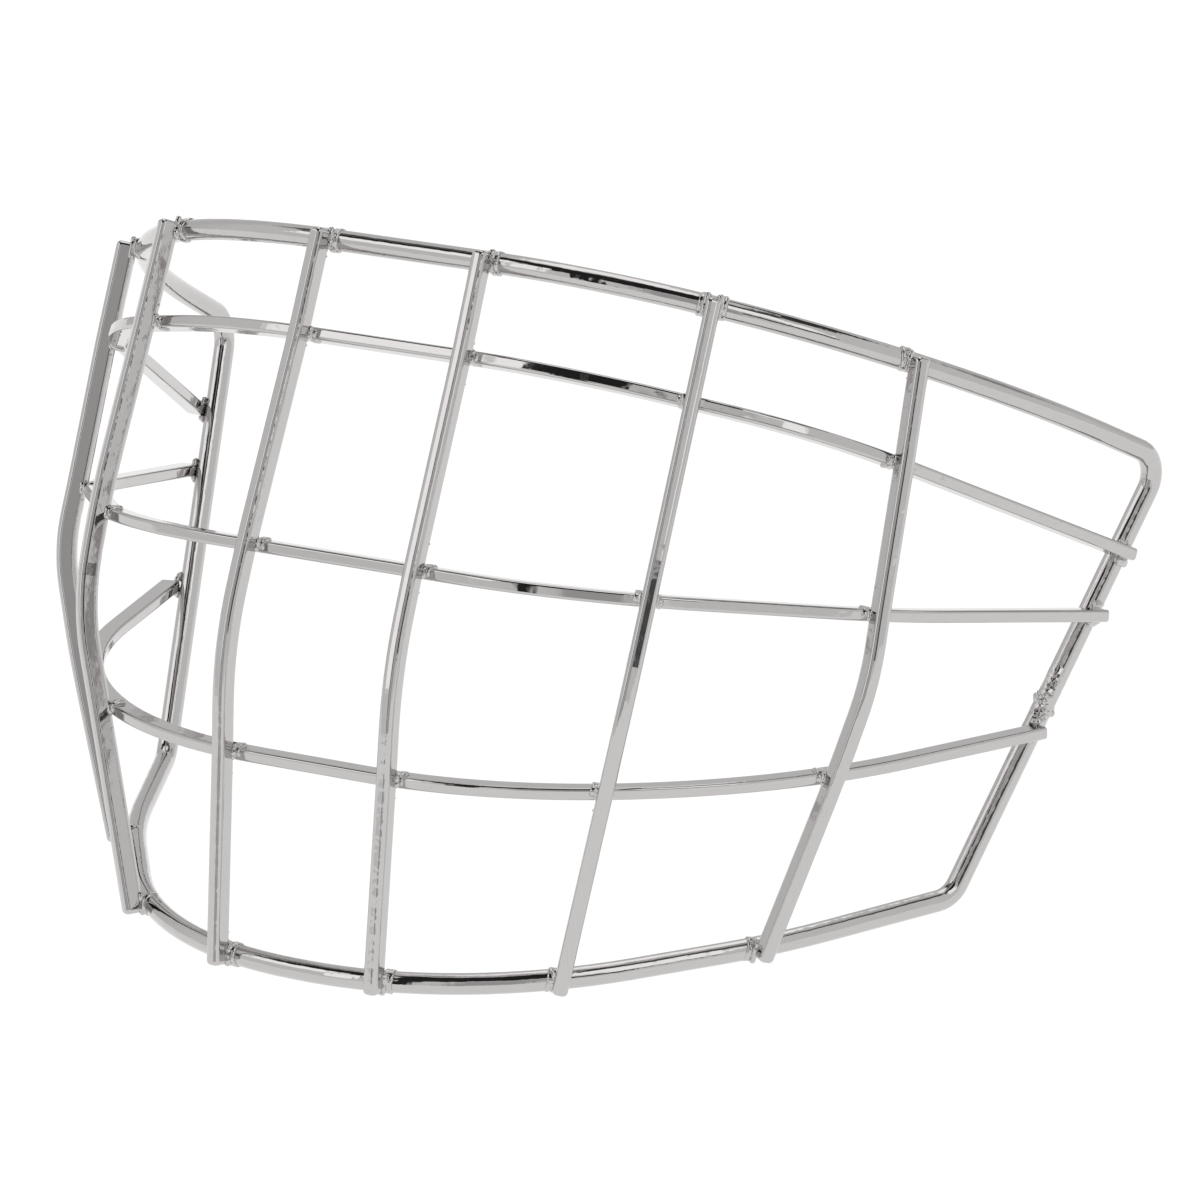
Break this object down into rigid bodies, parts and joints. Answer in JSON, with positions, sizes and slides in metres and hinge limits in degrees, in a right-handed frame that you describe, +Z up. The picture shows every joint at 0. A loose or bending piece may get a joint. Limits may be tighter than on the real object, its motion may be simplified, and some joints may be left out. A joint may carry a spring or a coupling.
{
  "type": "goalie mask face cage",
  "caption": "Chromed welded wire face cage of a goalie mask: round rim wire, bent cross bars and upright face bars, with open windows.",
  "frame": {"origin": "middle of the cage's box on the floor it stands on; X = 0 is the plane of symmetry", "axes": "+Z up, as the cage stands by itself on its chin rim; the face looks towards -Y; +X is the wearer's left"},
  "size_m": [0.2456, 0.1523, 0.1438],
  "materials": {
    "rim_chrome": "bright chrome plate on drawn round wire",
    "cross_bar_chrome": "bright chrome plate on flat bar with soft edges",
    "face_bar_chrome": "bright chrome plate on flat bar with round edges",
    "weld_chrome": "plated over a rippled weld bead",
    "ground_weld": "ground butt weld, rough under the plating"
  },
  "bodies": {
    "root": {"cross_bar_lower": "cross_bar_chrome", "cross_bar_middle": "cross_bar_chrome", "cross_bar_upper": "cross_bar_chrome", "face_bar_left_inner": "face_bar_chrome", "face_bar_left_middle": "face_bar_chrome", "face_bar_left_outer": "face_bar_chrome", "face_bar_right_inner": "face_bar_chrome", "face_bar_right_middle": "face_bar_chrome", "face_bar_right_outer": "face_bar_chrome", "rim_wire": "rim_chrome", "weld_chin_left_inner": "weld_chrome", "weld_chin_left_middle": "weld_chrome", "weld_chin_left_outer": "weld_chrome", "weld_chin_right_inner": "weld_chrome", "weld_chin_right_middle": "weld_chrome", "weld_chin_right_outer": "weld_chrome", "weld_forehead_left_inner": "weld_chrome", "weld_forehead_left_middle": "weld_chrome", "weld_forehead_left_middle_outboard": "weld_chrome", "weld_forehead_left_outer": "weld_chrome", "weld_forehead_right_inner": "weld_chrome", "weld_forehead_right_middle": "weld_chrome", "weld_forehead_right_outer": "weld_chrome", "weld_lower_left_end": "weld_chrome", "weld_lower_left_inner": "weld_chrome", "weld_lower_left_middle": "weld_chrome", "weld_lower_left_outer": "weld_chrome", "weld_lower_right_end": "weld_chrome", "weld_lower_right_inner": "weld_chrome", "weld_lower_right_middle": "weld_chrome", "weld_lower_right_outer": "weld_chrome", "weld_middle_left_end": "weld_chrome", "weld_middle_left_inner": "weld_chrome", "weld_middle_left_middle": "weld_chrome", "weld_middle_left_middle_outboard": "weld_chrome", "weld_middle_left_outer": "weld_chrome", "weld_middle_right_end": "weld_chrome", "weld_middle_right_inner": "weld_chrome", "weld_middle_right_middle": "weld_chrome", "weld_middle_right_outer": "weld_chrome", "weld_rim_joint": "ground_weld", "weld_upper_left_end": "weld_chrome", "weld_upper_left_inner": "weld_chrome", "weld_upper_left_middle": "weld_chrome", "weld_upper_left_outer": "weld_chrome", "weld_upper_right_end": "weld_chrome", "weld_upper_right_inner": "weld_chrome", "weld_upper_right_middle": "weld_chrome", "weld_upper_right_outer": "weld_chrome"}
  },
  "joints": []
}
